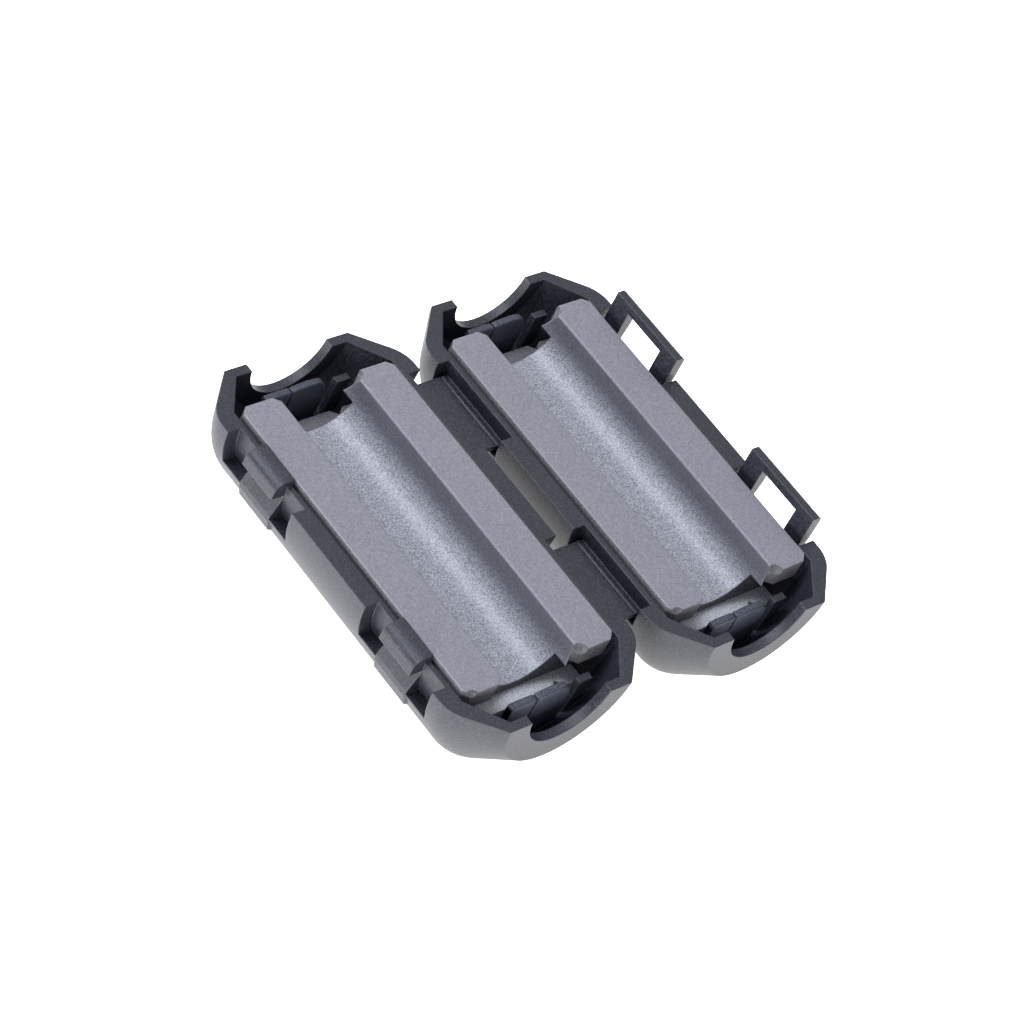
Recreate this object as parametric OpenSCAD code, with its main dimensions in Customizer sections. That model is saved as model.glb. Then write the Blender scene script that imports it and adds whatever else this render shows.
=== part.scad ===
// Clip-on ferrite bead: a hinged plastic case that snaps round a cable and
// presses two ferrite half-cores together. Shown open and lying flat, the
// base half at -X, the lid half at +X, the cable grooves along Y.

/* [Cores] */
// Diameter of the cable groove made by the two cores
bore_d = 9; // [8.8:0.1:9]
// Outer width of a half core
core_w = 18; // [17.6:0.1:18]
// Length of a half core
core_l = 34.8; // [34:0.1:35]
// Depth of the retaining notch in each core end
notch_d = 1.8; // [1.4:0.1:2]
// Height of the retaining notch
notch_h = 3.0; // [2.4:0.1:3.4]

/* [Case] */
// Outer radius of the closed case
case_r = 11.4; // [11.4:0.05:11.6]
// Overall length of the case
case_l = 43.8; // [43.6:0.1:44.4]
// Radius of the flat end of the case
nose_r = 7.3; // [7:0.1:7.4]
// Radius that blends the barrel into the nose
blend_r = 3.5; // [2.5:0.1:4]
// Radius of the hollow that takes the core
hollow_r = 9.4; // [9.3:0.05:9.45]
// Thickness of the end walls
end_wall = 0.95; // [0.8:0.05:1.2]
// Drop of the case rim below the mating faces of the cores
rim_drop = 0.45; // [0.4:0.05:0.5]
// Height of the mating faces above the surface the case lies on
mate_z = 11; // [10.9:0.05:11.1]

/* [Hinge] */
// Distance from the middle plane to each fold line
fold_x = 2.15; // [2.1:0.05:2.2]
// Thickness of a hinge strap
strap_t = 0.5; // [0.4:0.05:0.5]
// Distance of the latches and straps from the middle, along the cable
clip_y = 10.6; // [10.5:0.05:10.7]
// Length of a latch pocket or strap recess, along the cable
pocket_l = 10; // [9.8:0.1:10.1]

/* [Latch] */
// Length of a catch
catch_l = 4.5; // [4:0.1:4.5]
// Depth of the catch lip's lower edge below the mating faces
lip_z = 1.55; // [1.4:0.05:1.55]
// Outer width of a snap loop
loop_w = 9.3; // [9:0.1:9.3]
// Width of the window in a snap loop
window_w = 5; // [4.9:0.1:5.2]
// Height of a snap loop above the mating faces
loop_h = 2.5; // [2.45:0.05:2.7]
// Thickness of a snap loop
loop_t = 1.25; // [1.1:0.05:1.25]

/* [Hidden] */

slack = 0.1;
bead_gap = 0.05;
fold_reach = 10.35;
half_pitch = fold_x + fold_reach;
half_l = case_l / 2;
flank = half_l + nose_r;

core_r = core_w / 2;
bore_r = bore_d / 2;
core_end = core_l / 2;
core_foot = 8.7;
core_bevel = 1.1;
core_split = 0.02;
notch_top = 2.2;

hollow_nose_r = nose_r - 0.7;
hollow_l = half_l - end_wall;
pocket_r = 9.95;
recess_r = 10.0;
pocket_floor = 4.6;
saddle_r = bore_r + 0.25;

rib_y = 12;
rib_t = 1.2;
rib_w = 8;
fin_spans = [[-4.1, -1.2], [-1.0, 3.3]];
fin_y = 18.85;
fin_t = 0.7;
fin_top = 2.1;
stop_span = [4.3, 5.9];
stop_y = 18.7;
stop_top = 2.5;

lug_start = 9.3;
lug_l = 9.2;
lug_t = 0.6;
strap_l = 9;
bead_r = strap_t / 2;

latch_y = clip_y - 0.1;
flex_reach = 10.45;
flex_x = half_pitch + flex_reach;
flex_z = -2.9;
knuckle_r = 0.6;
loop_floor = 3.3;
loop_side = 7;
loop_x = half_pitch + case_r - bead_gap;

far = 2 * case_l;
black = [0.13, 0.13, 0.15];
grey = [0.62, 0.62, 0.66];

// Places the children on the mating plane of the case, over the groove axis.
module on_axis(side) {
    translate([side * half_pitch, 0, mate_z]) children();
}

// A round bar of radius r lying along Y, centred.
module bar_y(r, l) {
    rotate([90, 0, 0]) cylinder(r = r, h = l, center = true, $fn = 96);
}

// A box from its low corner to its high corner.
module block(low, high) {
    translate(low) cube(high - low);
}

// An outline drawn in X and Z, given its thickness along Y.
module slab_y(l) {
    rotate([90, 0, 0]) linear_extrude(l, center = true) children();
}

// The barrel with its sloping noses, before it is split.
module barrel() {
    turn = blend_r * tan(22.5);
    start = flank - case_r - turn;
    rotate([90, 0, 0]) rotate_extrude($fn = 128) {
        difference() {
            polygon([[0, -half_l], [nose_r, -half_l], [case_r, case_r - flank],
                     [case_r, flank - case_r], [nose_r, half_l], [0, half_l]]);
            for (s = [-1, 1]) nose_blend(s, start, turn);
        }
    }
}

// The sliver cut from the corner between barrel and nose to round it.
module nose_blend(s, start, turn) {
    slope = turn * sin(45);
    difference() {
        polygon([[case_r, s * start], [case_r + 1, s * start],
                 [case_r + 1, s * (start + turn + slope)],
                 [case_r - slope, s * (start + turn + slope)]]);
        translate([case_r - blend_r, s * start]) circle(r = blend_r, $fn = 96);
    }
}

// The hollow inside the case, following the outside.
module hollow() {
    rotate([90, 0, 0]) rotate_extrude($fn = 128)
        polygon([[0, -hollow_l], [hollow_nose_r, -hollow_l], [hollow_r, -core_end],
                 [hollow_r, core_end], [hollow_nose_r, hollow_l], [0, hollow_l]]);
}

// Everything of one half below its rim and above its foot.
module half_space() {
    block([-far, -far, -mate_z], [far, far, -rim_drop]);
}

// Ring-shaped cut into the wall on the +X side of a half.
module wall_cut(inner_r, depth, l) {
    for (s = [-1, 1]) difference() {
        block([0, s * clip_y - l / 2, -depth], [far, s * clip_y + l / 2, 1]);
        bar_y(inner_r, far);
    }
}

// Ribs that carry the core, and the cable saddles at both ends.
module inner_ribs() {
    intersection() {
        barrel();
        half_space();
        for (s = [-1, 1]) {
            block([-rib_w / 2, s * rib_y - rib_t / 2, -mate_z],
                  [rib_w / 2, s * rib_y + rib_t / 2, -core_foot]);
            end_saddle(s);
        }
    }
}

// An upright plate across the case, from its floor to a given depth.
module plate(span, y, top) {
    block([span[0], y - fin_t / 2, -mate_z], [span[1], y + fin_t / 2, -top]);
}

// Two upright fins with a slit between them, and a smaller stop beside them.
module end_saddle(s) {
    difference() {
        for (span = fin_spans) plate(span, s * fin_y, fin_top);
        bar_y(saddle_r, far);
    }
    plate(stop_span, s * stop_y, stop_top);
}

// One half of the case, with the hinge recesses on its +X side.
module half_case() {
    difference() {
        intersection() {
            barrel();
            half_space();
        }
        hollow();
        bar_y(saddle_r, far);
        wall_cut(recess_r, fold_x + 0.8, pocket_l);
    }
    for (s = [-1, 1]) strap_seat(s);
}

// Lug that holds the edge of a strap, hollowed round the fold line.
module strap_seat(s) {
    difference() {
        block([lug_start, s * clip_y - lug_l / 2, -fold_x - lug_t],
              [fold_reach, s * clip_y + lug_l / 2, -fold_x]);
        translate([fold_reach, 0, -fold_x]) bar_y(bead_r + bead_gap, far);
        bar_y(hollow_r + slack, far);
    }
}

// Catch on the -X side: a rounded ramp and lip, with a sloping pad below it.
module catch(s) {
    wall = -9.3;
    crest = 0.43;
    shelf = wall - 0.35;
    under = -9.9;
    lip = -case_r;
    lip_top = -0.5;
    pad_top = 1.9;
    pad_face = -10.5;
    ramp = [for (a = [0:10:90]) [shelf - (shelf - lip) * sin(a),
                                 crest - (crest - lip_top) * (1 - cos(a))]];
    translate([0, s * latch_y, 0]) slab_y(catch_l) {
        polygon(concat([[wall, -2], [wall, 0.3], [wall - 0.15, crest]], ramp,
                       [[lip, -lip_z], [under, -lip_z], [under, -2]]));
        polygon([[wall + 0.1, -pad_top], [-9.75, -pad_top], [pad_face, -4.2],
                 [pad_face + 0.05, -4.9], [-9.95, -6.2], [wall + 0.1, -6.6],
                 [wall + 1.1, -6], [wall + 0.7, -4.5]]);
    }
}

// Base half of the case: carries the two catches.
module base_shell() {
    color(black) on_axis(-1) {
        difference() {
            half_case();
            mirror([1, 0, 0]) wall_cut(pocket_r, pocket_floor, pocket_l);
        }
        inner_ribs();
        for (s = [-1, 1]) catch(s);
    }
}

// Lid half of the case: its outer wall is open where the loops stand.
module lid_shell() {
    color(black) on_axis(1) {
        difference() {
            mirror([1, 0, 0]) half_case();
            for (s = [-1, 1]) {
                block([loop_side, s * clip_y - pocket_l / 2, -loop_floor],
                      [far, s * clip_y + pocket_l / 2, 1]);
                translate([flex_reach, s * clip_y, flex_z]) bar_y(knuckle_r + bead_gap, pocket_l);
            }
        }
        inner_ribs();
    }
}

// Half core: a split ferrite sleeve with notched ends.
module half_core() {
    difference() {
        bar_y(core_r, core_l);
        bar_y(bore_r, far);
        block([-far, -far, -core_split], [far, far, far]);
        block([-far, -far, -far], [far, far, -core_foot]);
        for (s = [-1, 1]) core_end_cuts(s);
    }
}

// The notch across a core end and the bevels at its four corners.
module core_end_cuts(s) {
    reach = 10;
    translate([0, s * (core_end - notch_d + reach / 2), -notch_top - notch_h / 2])
        cube([far, reach, notch_h], center = true);
    for (x = [-core_r, -bore_r, bore_r, core_r])
        translate([x, s * core_end, 0]) rotate([0, 0, 45])
            cube([core_bevel, core_bevel, far], center = true);
}

// Half core in the base half.
module base_core() {
    color(grey) on_axis(-1) half_core();
}

// Half core in the lid half.
module lid_core() {
    color(grey) on_axis(1) half_core();
}

// Flat strap with a round bead along each fold line.
module strap(s) {
    color(black) translate([0, s * clip_y, mate_z - fold_x]) {
        cube([2 * fold_x, strap_l, strap_t], center = true);
        for (x = [-fold_x, fold_x]) translate([x, 0, 0]) bar_y(bead_r, strap_l);
    }
}

// Hinge strap at the far end.
module far_strap() { strap(1); }

// Hinge strap at the near end.
module near_strap() { strap(-1); }

// Snap loop: two arms joined by a bar, on knuckles in the lid wall.
module snap_loop(s) {
    top_bevel = 35;
    color(black) translate([0, s * latch_y, mate_z]) difference() {
        union() {
            intersection() {
                block([loop_x - loop_t, -loop_w / 2, flex_z], [loop_x, loop_w / 2, loop_h]);
                union() {
                    block([0, -far, -rim_drop], [far, far, far]);
                    translate([half_pitch, 0, 0]) bar_y(case_r - bead_gap, far);
                }
            }
            translate([flex_x, 0, flex_z]) bar_y(knuckle_r, loop_w);
        }
        block([0, -window_w / 2, -far], [far, window_w / 2, lip_z + 0.07]);
        translate([loop_x, 0, loop_h]) rotate([0, top_bevel, 0])
            cube([2, far, 0.5], center = true);
    }
}

// Snap loop at the far end.
module far_loop() { snap_loop(1); }

// Snap loop at the near end.
module near_loop() { snap_loop(-1); }

base_shell();
lid_shell();
base_core();
lid_core();
far_strap();
near_strap();
far_loop();
near_loop();
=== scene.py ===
import math

import bmesh
import bpy
from mathutils import Matrix, Vector


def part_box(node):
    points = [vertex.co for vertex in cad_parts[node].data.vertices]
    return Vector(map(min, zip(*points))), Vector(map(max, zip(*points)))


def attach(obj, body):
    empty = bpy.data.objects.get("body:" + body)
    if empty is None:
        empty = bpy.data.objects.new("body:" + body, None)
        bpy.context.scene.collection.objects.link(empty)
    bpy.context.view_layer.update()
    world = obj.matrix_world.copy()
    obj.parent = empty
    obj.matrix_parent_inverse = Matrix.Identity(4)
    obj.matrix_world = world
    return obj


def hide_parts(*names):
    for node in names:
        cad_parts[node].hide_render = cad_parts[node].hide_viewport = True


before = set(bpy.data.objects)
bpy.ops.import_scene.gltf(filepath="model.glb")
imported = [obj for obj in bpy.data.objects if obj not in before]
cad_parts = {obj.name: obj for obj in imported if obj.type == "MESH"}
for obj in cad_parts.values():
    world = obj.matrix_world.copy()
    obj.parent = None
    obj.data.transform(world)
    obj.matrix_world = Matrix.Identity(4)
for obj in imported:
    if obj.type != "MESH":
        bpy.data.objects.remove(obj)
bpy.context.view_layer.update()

# Sizes of the bead, in millimetres. X runs across the two halves, Y along the cable, Z up.
MM = 0.001
MATE = 11.0
PITCH = 12.5
CORE_R = 9.0
BORE_R = 4.5
CORE_FOOT = 8.7
CORE_END = 17.4
NOTCH_IN = 1.8
NOTCH_TOP = 2.2
NOTCH_FOOT = 5.2
RIM_DROP = 0.45
LOOP_Y = 10.5
LOOP_L = 9.3
LOOP_T = 1.25
LOOP_FOOT = 2.9
WINDOW_L = 5.0
WINDOW_TOP = 1.62
KNUCKLE_X = 22.95
KNUCKLE_R = 0.6
STRAP_Y = 10.6
STRAP_L = 9.0
STRAP_T = 0.5
FOLD_X = 2.15
GRIP_Y = 18.85
GRIP_T = 0.74
GRIP_FOOT = 7.2
GRIP_TOP = 2.1
BEYOND = 5.0


# ---------------------------------------------------------------- shader maths


class Value:
    """A number that varies over a surface, with the usual arithmetic."""

    def __init__(self, maker, socket):
        self.maker = maker
        self.socket = socket

    def __add__(self, other):
        return self.maker.maths("ADD", self, other)

    def __sub__(self, other):
        return self.maker.maths("SUBTRACT", self, other)

    def __mul__(self, other):
        return self.maker.maths("MULTIPLY", self, other)

    def __pow__(self, other):
        return self.maker.maths("POWER", self, other)

    __radd__ = __add__
    __rmul__ = __mul__

    def __rsub__(self, other):
        return self.maker.maths("SUBTRACT", other, self)


class Finish:
    """A material being built up from nodes."""

    def __init__(self, name):
        self.material = bpy.data.materials.new(name)
        self.material.use_nodes = True
        self.tree = self.material.node_tree
        self.shader = next(n for n in self.tree.nodes if n.type == "BSDF_PRINCIPLED")
        self.place = self.node("ShaderNodeTexCoord", out="Object")

    def put(self, socket, value):
        if isinstance(value, Value):
            self.tree.links.new(value.socket, socket)
        else:
            socket.default_value = value

    def node(self, kind, settings=None, out=0, **inputs):
        """Adds a node. An input is given by its name, or as i0, i1 and so on by its number."""
        made = self.tree.nodes.new(kind)
        for key, value in (settings or {}).items():
            setattr(made, key, value)
        for key, value in inputs.items():
            numbered = key[0] == "i" and key[1:].isdigit()
            spot = int(key[1:]) if numbered else key.replace("_", " ")
            self.put(made.inputs[spot], value)
        return Value(self, made.outputs[out])

    def maths(self, operation, a, b, clamp=False):
        return self.node("ShaderNodeMath", {"operation": operation, "use_clamp": clamp},
                         i0=a, i1=b)

    def clamped(self, value):
        return self.maths("ADD", value, 0.0, clamp=True)

    def size_of(self, value):
        return self.maths("ABSOLUTE", value, 0.0)

    def step(self, value, low, high):
        """A soft step from 0 at low to 1 at high."""
        return self.node("ShaderNodeMapRange", {"interpolation_type": "SMOOTHSTEP"},
                         Value=value, From_Min=low, From_Max=high)

    def axes(self):
        """A point's three coordinates, in metres."""
        split = self.node("ShaderNodeSeparateXYZ", Vector=self.place)
        return [Value(self, out) for out in split.socket.node.outputs]

    def noise(self, scale, detail, rough):
        return self.node("ShaderNodeTexNoise", Vector=self.place,
                         Scale=scale, Detail=detail, Roughness=rough)

    def cells(self, scale):
        return self.node("ShaderNodeTexVoronoi", {"feature": "F1"},
                         Vector=self.place, Scale=scale)

    def mix(self, share, a, b):
        return self.node("ShaderNodeMix", {"data_type": "RGBA"}, out=2, i0=share, i6=a, i7=b)

    def rounded(self, radius):
        return self.node("ShaderNodeBevel", {"samples": 8}, Radius=radius * MM)

    def near_an_edge(self, radius, gain=4.0):
        """0 on a flat face, rising towards 1 within a small radius of an edge."""
        flat = self.node("ShaderNodeNewGeometry", out="Normal")
        along = self.node("ShaderNodeVectorMath", {"operation": "DOT_PRODUCT"}, out="Value",
                          i0=self.rounded(radius), i1=flat)
        return self.clamped((1 - along) * gain)

    def relief(self, height, strength, depth, **base):
        return self.node("ShaderNodeBump", Height=height, Strength=strength,
                         Distance=depth * MM, **base)

    def done(self, colour, rough, normal, specular):
        self.put(self.shader.inputs["Base Color"], colour)
        self.put(self.shader.inputs["Roughness"], rough)
        self.put(self.shader.inputs["Normal"], normal)
        self.shader.inputs["Specular IOR Level"].default_value = specular
        return self.material


def tint(red, green, blue, lift=1.0):
    return (red * lift, green * lift, blue * lift, 1.0)


# ---------------------------------------------------------------- materials


def moulded_black(name, lift=1.0):
    """Moulded black nylon with a fine spark-eroded grain and paler edges, partly rubbed wear
    and partly a painted edge highlight; a lift above 1 paints the whole tone lighter, as
    painted light.
    """
    f = Finish(name)
    grain = f.noise(scale=5200.0, detail=3.0, rough=0.6)
    cloud = f.noise(scale=260.0, detail=3.0, rough=0.5)
    sparks = f.cells(scale=4200.0)
    pale = tint(0.15, 0.152, 0.16)

    mottle = f.clamped((grain - 0.5) * 3.2 + (cloud - 0.5) * 0.5 + 0.45)
    tone = f.mix(mottle, tint(0.010, 0.0115, 0.018, lift), tint(0.040, 0.0455, 0.066, lift))
    specks = (1 - f.step(sparks, 0.10, 0.42)) * f.step(grain, 0.42, 0.60)
    speckled = f.mix(specks * 0.40, tone, tint(0.12, 0.125, 0.14))
    # Paler near the edges: partly rubbed wear, partly a painted edge highlight.
    colour = f.mix(f.clamped(f.near_an_edge(0.20) * 0.40), speckled, pale)

    rough = f.clamped(0.31 + grain * 0.24 + cloud * 0.06)
    height = grain * 0.7 + sparks * 0.3
    normal = f.relief(height, strength=0.8, depth=0.07, Normal=f.rounded(0.16))
    return f.done(colour, rough, normal, specular=0.54)


def fired_ferrite():
    """Fired ferrite: flat ground faces and a coarser, shinier skin in the groove, with painted
    shade along the groove's sides, on the flanks and on the notch faces, and painted light on
    the near lips.
    """
    f = Finish("fired_ferrite")
    fine = f.noise(scale=7600.0, detail=3.0, rough=0.6)
    coarse = f.noise(scale=3400.0, detail=2.0, rough=0.6)
    cloud = f.noise(scale=180.0, detail=2.0, rough=0.5)
    x, y, z = f.axes()

    # Where a point lies, in millimetres.
    depth = (MATE * MM - z) * 1000.0
    across = (f.size_of(x) - PITCH * MM) * 1000.0
    to_end = f.size_of(y) * 1000.0
    towards_near = y * -1000.0
    from_axis = (depth * depth + across * across) ** 0.5

    # The groove has a finish of its own; the other regions mark painted shade and painted
    # light.
    round_groove = f.step(BORE_R + 0.35 - from_axis, 0.0, 0.25)
    in_groove = f.step(depth, 0.10, 0.30) * round_groove
    # Painted shade: the groove's skin darkens towards both of its edges.
    painted_groove_edge_shade = f.step(f.size_of(across), 3.35, 4.5) * in_groove
    # Painted light: the ledge of each near end notch is painted pale, as if lit; the far ones
    # stay unlit.
    painted_lit_near_lip = (f.step(to_end, 15.62, 15.75) * f.step(depth, 4.9, 5.1)
                * f.step(towards_near, 0.0, 1.0))
    # Painted shade: the inner faces of the end notches, and the flanks below the mating face
    # where the core meets the shell.
    painted_notch_shade = f.step(to_end, 15.52, 15.60) * f.step(depth, NOTCH_TOP, 2.3) * (1 - painted_lit_near_lip)
    painted_flank_shade = f.step(depth, 0.05, 0.14) * (1 - round_groove)
    painted_side_shade = f.clamped(painted_notch_shade + painted_flank_shade)

    # Each region's colour runs from its darker grains to its lighter ones.
    ground_grains = f.clamped((fine - 0.5) * 2.6 + (coarse - 0.5) * 0.8 + 0.5)
    grains = f.clamped((fine - 0.5) * 3.4 + (coarse - 0.5) * 0.9 + 0.5)
    ground = f.mix(ground_grains, tint(0.196, 0.193, 0.228), tint(0.328, 0.326, 0.376))
    skin = f.mix(grains, tint(0.145, 0.151, 0.185), tint(0.47, 0.482, 0.545))
    # Painted shade darkens the groove's sides.
    shaded = f.mix(painted_groove_edge_shade * 0.85, skin, tint(0.080, 0.080, 0.096))
    # Painted light: the pale tone of the near lips.
    pale = f.mix(grains, tint(0.30, 0.31, 0.35), tint(0.70, 0.72, 0.78))
    # Painted shade: the dark tone of the flanks and notch faces.
    painted_shade_tone = f.mix(grains, tint(0.075, 0.075, 0.085), tint(0.21, 0.21, 0.235))
    body = f.mix(painted_lit_near_lip, f.mix(painted_side_shade, f.mix(in_groove, ground, shaded), painted_shade_tone), pale)

    pits = 1 - f.step(f.cells(scale=3600.0), 0.10, 0.26)
    pitted = f.mix(f.clamped(pits * 0.28), body, tint(0.09, 0.09, 0.115))
    worn = f.clamped(f.near_an_edge(0.22) * 0.25 + (cloud - 0.4) * 0.12)
    colour = f.mix(worn, pitted, tint(0.42, 0.43, 0.49))

    rough = f.clamped(0.62 + (fine - 0.5) * 0.2 - in_groove * 0.21)
    f.put(f.shader.inputs["Metallic"], in_groove * 0.06)
    height = fine * (0.5 - in_groove * 0.2) + coarse * (0.2 + in_groove * 0.7)
    normal = f.relief(height, strength=0.5, depth=0.06, Normal=f.rounded(0.20))
    return f.done(colour, rough, normal, specular=0.5)


black = moulded_black("moulded_black")
# The grips get this same moulding with its tone painted 2.2 times lighter: painted light, as
# if they were lit more than the case.
lit_black = moulded_black("painted_light_black", lift=2.2)
ferrite = fired_ferrite()

for name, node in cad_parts.items():
    finish = ferrite if "core" in name else black
    for spot in node.material_slots:
        spot.material = finish


# ---------------------------------------------------------------- modelling tools


def mm(*values):
    return Vector(values) * MM


def alone(piece):
    """Makes a piece the only one selected."""
    bpy.ops.object.select_all(action="DESELECT")
    piece.select_set(True)
    bpy.context.view_layer.objects.active = piece


def start(primitive, name, **how):
    """Adds a primitive at its size and place, and settles its place into its mesh."""
    bpy.ops.object.select_all(action="DESELECT")
    primitive(**how)
    made = bpy.context.object
    made.name = name
    alone(made)
    bpy.ops.object.transform_apply(location=True, rotation=True, scale=True)
    return made


def rod(name, radius, length, place, sides):
    """A round rod that lies along the cable."""
    return start(bpy.ops.mesh.primitive_cylinder_add, name, vertices=sides, radius=radius * MM,
                 depth=length * MM, location=mm(*place), rotation=(math.pi / 2, 0, 0))


def brick(name, low, high, turn=0.0):
    """A block between two corners, turned about its upright middle line."""
    middle = [(a + b) / 2 for a, b in zip(low, high)]
    sizes = [b - a for a, b in zip(low, high)]
    return start(bpy.ops.mesh.primitive_cube_add, name, size=1.0, location=mm(*middle),
                 scale=mm(*sizes), rotation=(0, 0, turn))


def edit(piece):
    """Opens a piece in edit mode with all of it selected."""
    alone(piece)
    bpy.ops.object.mode_set(mode="EDIT")
    bpy.ops.mesh.select_all(action="SELECT")


def close():
    bpy.ops.object.mode_set(mode="OBJECT")


def slice_off(piece, point, direction):
    """Cuts a piece at a plane, drops what lies beyond it and closes the cut."""
    edit(piece)
    bpy.ops.mesh.bisect(plane_co=mm(*point), plane_no=direction, use_fill=True,
                        clear_outer=True, threshold=0.0000001)
    close()


def take(piece, tool, how="DIFFERENCE"):
    """Cuts a tool shape from a piece, or joins it on, and throws the tool away."""
    alone(piece)
    joint = piece.modifiers.new("cut", "BOOLEAN")
    joint.operation = how
    joint.solver = "EXACT"
    joint.object = tool
    bpy.ops.object.modifier_apply(modifier=joint.name)
    bpy.data.objects.remove(tool, do_unlink=True)


def merge_points(piece):
    """Welds the stray points that a cut leaves behind."""
    edit(piece)
    bpy.ops.mesh.remove_doubles(threshold=0.00001)
    bpy.ops.mesh.dissolve_limited(angle_limit=math.radians(0.5))
    bpy.ops.mesh.select_all(action="SELECT")
    bpy.ops.mesh.quads_convert_to_tris(quad_method="BEAUTY", ngon_method="BEAUTY")
    close()


def even_shading(piece):
    """Smooths the rounded edges and keeps the large flat faces flat."""
    alone(piece)
    bpy.ops.object.shade_smooth_by_angle(angle=math.radians(32))
    even = piece.modifiers.new("even", "WEIGHTED_NORMAL")
    even.keep_sharp = True
    bpy.ops.object.modifier_apply(modifier=even.name)


def ease_edges(piece, radius, steps=3, clamp=True):
    """Rounds every sharp edge of a piece by a small radius."""
    alone(piece)
    rounding = piece.modifiers.new("ease", "BEVEL")
    rounding.width = radius * MM
    rounding.segments = steps
    rounding.limit_method = "ANGLE"
    rounding.angle_limit = math.radians(35)
    rounding.harden_normals = False
    rounding.use_clamp_overlap = clamp
    bpy.ops.object.modifier_apply(modifier=rounding.name)
    even_shading(piece)


def dress(piece, finish, body, slot, *nodes):
    """Gives a finished piece its material, its body and the CAD nodes that it stands for."""
    piece.data.materials.clear()
    piece.data.materials.append(finish)
    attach(piece, body)
    if nodes:
        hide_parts(*nodes)


# ---------------------------------------------------------------- cores


def chip(core, x, y, drop, size):
    """Knocks a small shell-shaped flake off a corner of the mating face."""
    flake = start(bpy.ops.mesh.primitive_ico_sphere_add, "flake", subdivisions=3,
                  radius=size * MM, location=mm(x, y, MATE - drop), scale=(1.0, 0.85, 0.7))
    take(core, flake)


def half_core(name, side, body, node):
    """A ferrite half sleeve, ground flat on its mating faces and notched at both ends."""
    low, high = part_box(node)
    length = (high[1] - low[1]) / MM
    end = length / 2
    axis = side * PITCH
    core = rod(name, CORE_R, length, (axis, 0, MATE), sides=158)
    take(core, rod("bore", BORE_R, 2 * length, (axis, 0, MATE), sides=98))
    ground_off = 0.02
    slice_off(core, (axis, 0, MATE - ground_off), (0, 0, 1))
    slice_off(core, (axis, 0, MATE - CORE_FOOT), (0, 0, -1))
    ease_edges(core, 0.14, clamp=False)
    cut = 0.55
    wide = CORE_R + BEYOND + 1
    for s in (-1, 1):
        inner, outer = sorted((s * (end - NOTCH_IN), s * (end + BEYOND)))
        take(core, brick("notch", (axis - wide, inner, MATE - NOTCH_FOOT),
                         (axis + wide, outer, MATE - NOTCH_TOP)))
        for x in (axis - CORE_R, axis - BORE_R, axis + BORE_R, axis + CORE_R):
            take(core, brick("corner", (x - cut, s * end - cut, 0),
                             (x + cut, s * end + cut, MATE + 1), turn=math.pi / 4))
    chip(core, axis + 4.6, 0.1 - CORE_END, drop=0.3, size=0.95)
    chip(core, axis + 4.5, CORE_END - 0.3, drop=0.2, size=0.85)
    chip(core, axis - 8.3, -CORE_END - 0.1, drop=0.1, size=0.7)
    even_shading(core)
    dress(core, ferrite, body, "ferrite", node)


half_core("base_ferrite_half", -1, "base_half", "base_core")
half_core("lid_ferrite_half", 1, "lid_half", "lid_core")


# ---------------------------------------------------------------- snap loops


def snap_loop(name, s, body, node):
    """A springy loop: two arms, a bar across their top and a round knuckle at their foot."""
    low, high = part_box(node)
    outer, top = high[0] / MM, high[2] / MM
    inner = outer - LOOP_T
    foot = MATE - LOOP_FOOT
    y = s * LOOP_Y
    loop = brick(name, (inner, y - LOOP_L / 2, foot), (outer, y + LOOP_L / 2, top))
    down_the_wall = (0.989, 0, -0.149)
    slice_off(loop, (outer, y, MATE - RIM_DROP), down_the_wall)
    take(loop, rod("knuckle", KNUCKLE_R, LOOP_L, (KNUCKLE_X, y, foot), sides=40), "UNION")
    take(loop, brick("window", (inner - 2, y - WINDOW_L / 2, foot - 2),
                     (outer + 2, y + WINDOW_L / 2, MATE + WINDOW_TOP)))
    lean = math.radians(35)
    slope = Vector((math.sin(lean), 0, math.cos(lean)))
    slice_off(loop, Vector((outer, 0, top)) - slope * 0.25, slope)
    merge_points(loop)
    ease_edges(loop, 0.13)
    dress(loop, black, body, "case", node)


snap_loop("far_snap_loop", 1, "far_latch", "far_loop")
snap_loop("near_snap_loop", -1, "near_latch", "near_loop")


# ---------------------------------------------------------------- hinge straps


def strap(name, s, node):
    """A thin moulded strap with a rounded bead and a score line along each fold."""
    y = s * STRAP_Y
    level = MATE - FOLD_X
    half = STRAP_T / 2
    panel = brick(name, (-FOLD_X, y - STRAP_L / 2, level - half),
                  (FOLD_X, y + STRAP_L / 2, level + half))
    for x in (-FOLD_X, FOLD_X):
        take(panel, rod("bead", half, STRAP_L, (x, y, level), sides=24), "UNION")
        score = rod("score", 0.13, STRAP_L + 3, (0.80 * x, y, level + half + 0.02), sides=16)
        take(panel, score)
    merge_points(panel)
    ease_edges(panel, 0.05, steps=2)
    dress(panel, black, "straps", "case", node)


strap("far_hinge_strap", 1, "far_strap")
strap("near_hinge_strap", -1, "near_strap")


# ---------------------------------------------------------------- cable grips


def raise_column(plate, x, centre, share):
    """Stretches one upright column of a plate's points away from its foot."""
    bpy.ops.mesh.select_all(action="DESELECT")
    mesh = bmesh.from_edit_mesh(plate.data)
    for point in mesh.verts:
        point.select = abs(point.co.x / MM - x) < 0.01
    mesh.select_flush(True)
    bmesh.update_edit_mesh(plate.data)
    bpy.ops.transform.resize(value=(1, 1, share), center_override=mm(*centre))


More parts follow.
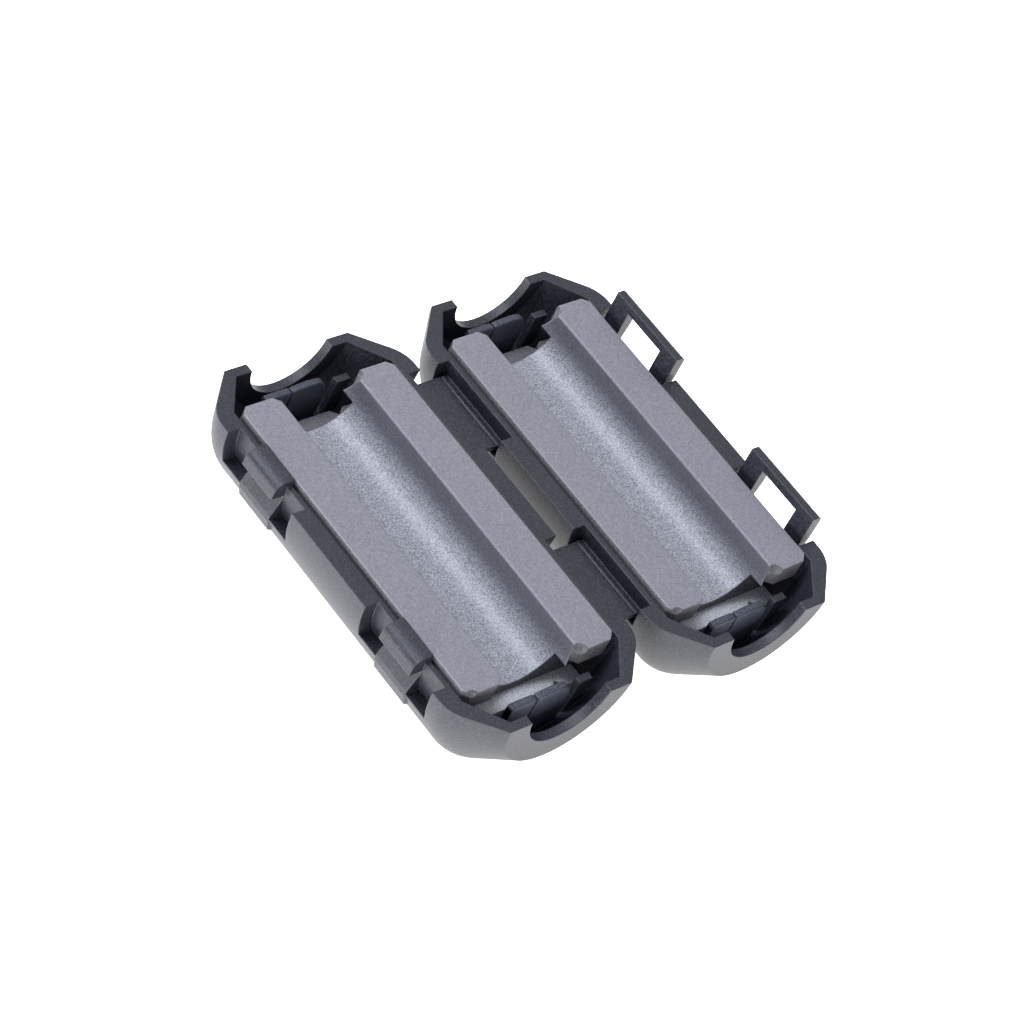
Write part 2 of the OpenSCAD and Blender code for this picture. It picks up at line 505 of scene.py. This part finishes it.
def cable_grip(name, side, s, span, crown, corner_r):
    """An upright cable finger with a crowned top edge and, on a broad one, a round corner."""
    low, high = side * PITCH + span[0], side * PITCH + span[1]
    y = s * GRIP_Y
    foot = MATE - GRIP_FOOT
    tall = GRIP_FOOT - GRIP_TOP
    plate = brick(name, (low, y - GRIP_T / 2, foot), (high, y + GRIP_T / 2, foot + tall))
    edit(plate)
    cuts = 11
    bpy.ops.mesh.subdivide(number_cuts=cuts)
    bpy.ops.mesh.select_mode(type="VERT")
    for column in range(cuts + 2):
        x = low + (high - low) * column / (cuts + 1)
        across = (2 * x - low - high) / (high - low)
        rise = crown * (1 - across ** 2)
        if corner_r:
            turn = min(1.0, max(0.0, (x - high + corner_r) / corner_r))
            rise -= corner_r * (1 - math.sqrt(1 - turn ** 2))
        raise_column(plate, x, (x, y, foot), 1 + rise / tall)
    close()
    ease_edges(plate, 0.09, steps=2, clamp=False)
    return plate


for half, side in (("base", -1), ("lid", 1)):
    for end, s in (("far", 1), ("near", -1)):
        # The grips wear the lighter painted-light copy of the black moulding.
        broad = cable_grip(f"{half}_{end}_broad_grip", side, s, (-1.0, 3.3), 0.2, 1.3)
        dress(broad, lit_black, f"{half}_half", "case")
        narrow = cable_grip(f"{half}_{end}_narrow_grip", side, s, (-4.1, -1.2), 0.05, 0.0)
        dress(narrow, lit_black, f"{half}_half", "case")


# ---------------------------------------------------------------- studio


def pale_floor():
    """A wide pale floor, a little below the bead, that glows like a light table."""
    bpy.ops.object.select_all(action="DESELECT")
    bpy.ops.mesh.primitive_plane_add(size=6.0, location=(0, 0, -0.00005))
    floor = bpy.context.object
    floor.name = "floor"
    f = Finish("studio_floor")
    haze = f.noise(scale=3.0, detail=2.0, rough=0.5)
    tone = f.mix(haze, tint(0.93, 0.93, 0.93), tint(0.96, 0.96, 0.96))
    f.done(tone, 0.9, f.relief(haze, strength=0.02, depth=0.5), specular=0.0)
    f.shader.inputs["Emission Color"].default_value = tint(1.0, 0.985, 0.93)
    f.shader.inputs["Emission Strength"].default_value = 1.45
    floor.data.materials.append(f.material)


def area_light(name, place, size, power, colour=(1, 1, 1)):
    """A flat lamp that faces the middle of the bead."""
    data = bpy.data.lights.new(name, "AREA")
    data.shape = "RECTANGLE"
    data.size, data.size_y = size
    data.energy = power
    data.color = colour
    lamp = bpy.data.objects.new(name, data)
    bpy.context.collection.objects.link(lamp)
    lamp.location = place
    facing = Vector((0, 0, 0.008)) - Vector(place)
    lamp.rotation_euler = facing.to_track_quat("-Z", "Y").to_euler()


def studio_light():
    world = bpy.data.worlds.new("studio")
    world.use_nodes = True
    sky = world.node_tree.nodes["Background"]
    sky.inputs["Color"].default_value = (0.97, 0.98, 1.0, 1.0)
    sky.inputs["Strength"].default_value = 0.40
    bpy.context.scene.world = world
    cool = (0.94, 0.97, 1.06)
    area_light("overhead", (-0.200, 0.187, 0.4180), (0.20, 0.20), 1.65, cool)
    area_light("right_high", (0.24, 0.16, 0.38), (0.3, 0.3), 0.3)
    area_light("left_low", (-0.45, -0.12, 0.045), (0.4, 0.08), 1.0)
    area_light("front_low", (-0.05, -0.45, 0.045), (0.4, 0.08), 0.35)


def camera():
    """A long lens that looks down on the near left corner, rolled a little."""
    data = bpy.data.cameras.new("camera")
    data.sensor_width = 36.0
    data.lens = 130.995
    data.clip_start = 0.01
    data.clip_end = 20.0
    cam = bpy.data.objects.new("camera", data)
    bpy.context.collection.objects.link(cam)
    right = Vector((0.72927, -0.58644, 0.35250)).normalized()
    back = Vector((-0.62993, -0.37430, 0.68051)).normalized()
    up = back.cross(right)
    turn = Matrix((right, up, back)).transposed().to_4x4()
    cam.matrix_world = Matrix.Translation((-0.21466, -0.12725, 0.23870)) @ turn
    bpy.context.scene.camera = cam


pale_floor()
studio_light()
camera()
bpy.context.scene.view_settings.view_transform = "Standard"
